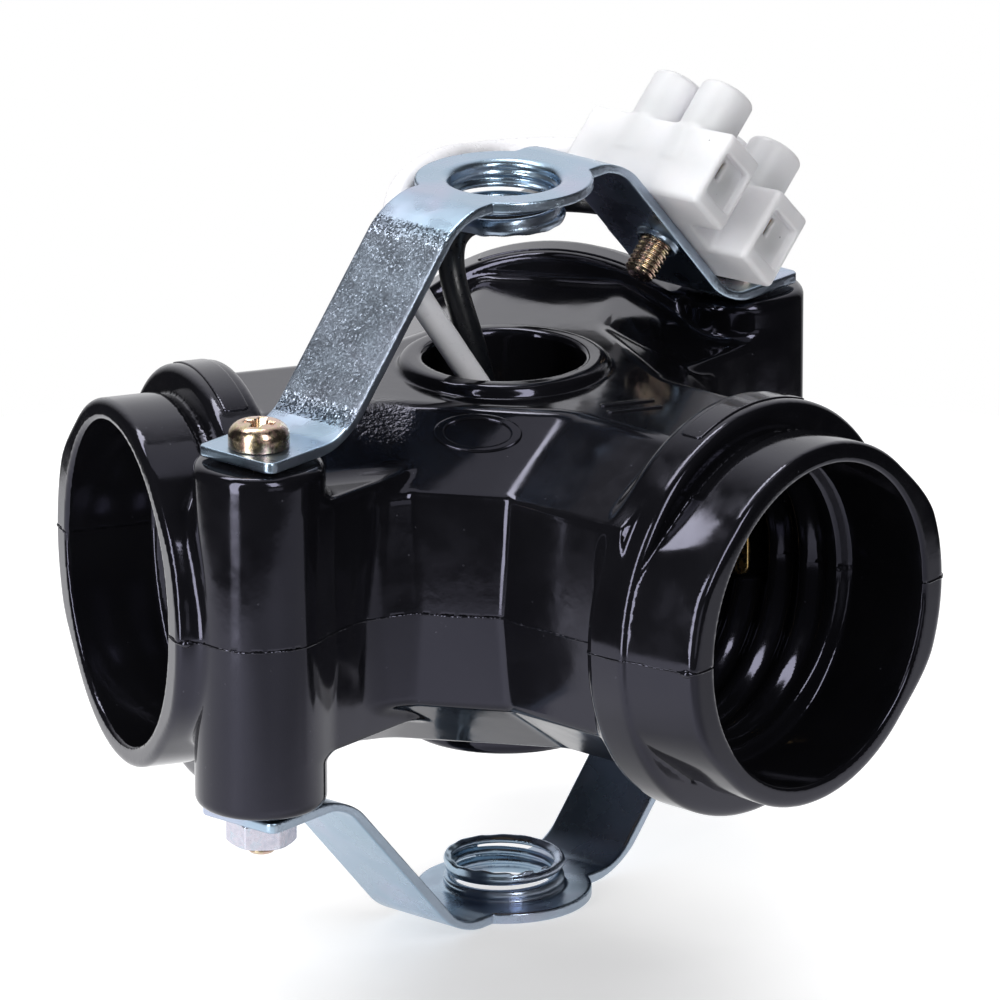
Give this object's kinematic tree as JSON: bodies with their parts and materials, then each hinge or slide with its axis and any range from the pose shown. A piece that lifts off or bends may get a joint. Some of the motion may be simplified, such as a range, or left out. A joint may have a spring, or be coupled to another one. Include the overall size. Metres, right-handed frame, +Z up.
{
  "type": "three-way lampholder cluster",
  "caption": "Black moulded cluster of E27 lampholders set at 120 degrees, clamped between bent steel brackets with M10 threaded collars, with a terminal block and two leads.",
  "frame": {"origin": "on the axis of the brackets' M10x1 threads, at the top face of the upper bracket's plate", "axes": "+Z up along the thread axis; +X along the brackets, towards the column under the terminal block; -Y out of the front socket; the left and rear sockets point 120 degrees to either side of it"},
  "size_m": [0.0812, 0.0705, 0.073],
  "materials": {
    "black_phenolic": "glossy compression-moulded black phenolic with a fine grey speckle",
    "zinc_plated_steel": "blue-passivated zinc plate with a fine spangle on the bent strip",
    "yellow_zinc_screw": "yellow-passivated zinc plate",
    "bright_zinc": "bright zinc plate",
    "white_polyamide": "milky translucent white polyamide, satin",
    "brass": "plain rolled brass, satin",
    "fibre_board": "matt brown pressed fibre",
    "black_insulation": "smooth black silicone or PVC, semi-gloss",
    "white_insulation": "smooth white silicone or PVC, semi-gloss"
  },
  "bodies": {
    "cluster": {"upper_housing": "black_phenolic", "lower_housing": "black_phenolic", "upper_bracket": "zinc_plated_steel", "lower_bracket": "zinc_plated_steel", "clamp_screw_left": "yellow_zinc_screw", "clamp_screw_right": "yellow_zinc_screw", "block_screw": "yellow_zinc_screw", "clamp_nut_left": "bright_zinc", "clamp_nut_right": "bright_zinc", "terminal_body": "white_polyamide", "terminal_tube_neutral": "brass", "terminal_tube_line": "brass", "contact_carrier": "fibre_board", "line_plate": "brass", "neutral_plate": "brass", "centre_rivet_front": "brass", "side_rivet_front": "brass", "centre_rivet_left": "brass", "side_rivet_left": "brass", "centre_rivet_rear": "brass", "side_rivet_rear": "brass", "line_lug": "brass", "neutral_lug": "brass", "white_lead": "white_insulation", "black_lead": "black_insulation"},
    "centre_contact_front_body": {"centre_contact_front": "brass"},
    "centre_contact_left_body": {"centre_contact_left": "brass"},
    "centre_contact_rear_body": {"centre_contact_rear": "brass"},
    "side_contact_front_body": {"side_contact_front": "brass"},
    "side_contact_left_body": {"side_contact_left": "brass"},
    "side_contact_rear_body": {"side_contact_rear": "brass"},
    "pole_screw_neutral_open_body": {"pole_screw_neutral_open": "bright_zinc"},
    "pole_screw_neutral_lead_body": {"pole_screw_neutral_lead": "bright_zinc"},
    "pole_screw_line_open_body": {"pole_screw_line_open": "bright_zinc"},
    "pole_screw_line_lead_body": {"pole_screw_line_lead": "bright_zinc"}
  },
  "joints": [
    {"name": "centre_contact_front_flex", "type": "hinge", "parent": "cluster", "child": "centre_contact_front_body", "pos_m": [0, -0.0072, -0.043], "axis": [-1, 0, 0], "range_deg": [0, 6], "stiffness_Nm_per_rad": 0.4},
    {"name": "centre_contact_left_flex", "type": "hinge", "parent": "cluster", "child": "centre_contact_left_body", "pos_m": [-0.00624, 0.0036, -0.043], "axis": [0.5, 0.866, 0], "range_deg": [0, 6], "stiffness_Nm_per_rad": 0.4},
    {"name": "centre_contact_rear_flex", "type": "hinge", "parent": "cluster", "child": "centre_contact_rear_body", "pos_m": [0.00624, 0.0036, -0.043], "axis": [0.5, -0.866, 0], "range_deg": [0, 6], "stiffness_Nm_per_rad": 0.4},
    {"name": "side_contact_front_flex", "type": "hinge", "parent": "cluster", "child": "side_contact_front_body", "pos_m": [0.01165, -0.0072, -0.0342], "axis": [0, 0, 1], "range_deg": [0, 5], "stiffness_Nm_per_rad": 0.4},
    {"name": "side_contact_left_flex", "type": "hinge", "parent": "cluster", "child": "side_contact_left_body", "pos_m": [-0.01206, -0.00649, -0.0342], "axis": [0, 0, 1], "range_deg": [0, 5], "stiffness_Nm_per_rad": 0.4},
    {"name": "side_contact_rear_flex", "type": "hinge", "parent": "cluster", "child": "side_contact_rear_body", "pos_m": [0.00041, 0.01369, -0.0342], "axis": [0, 0, 1], "range_deg": [0, 5], "stiffness_Nm_per_rad": 0.4},
    {"name": "pole_screw_neutral_open_travel", "type": "slide", "parent": "cluster", "child": "pole_screw_neutral_open_body", "axis": [0.7326, 0, 0.6806], "range_m": [0, 0.0016]},
    {"name": "pole_screw_neutral_lead_travel", "type": "slide", "parent": "cluster", "child": "pole_screw_neutral_lead_body", "axis": [0.7326, 0, 0.6806], "range_m": [0, 0.0016]},
    {"name": "pole_screw_line_open_travel", "type": "slide", "parent": "cluster", "child": "pole_screw_line_open_body", "axis": [0.7326, 0, 0.6806], "range_m": [0, 0.0016]},
    {"name": "pole_screw_line_lead_travel", "type": "slide", "parent": "cluster", "child": "pole_screw_line_lead_body", "axis": [0.7326, 0, 0.6806], "range_m": [0, 0.0016]}
  ]
}
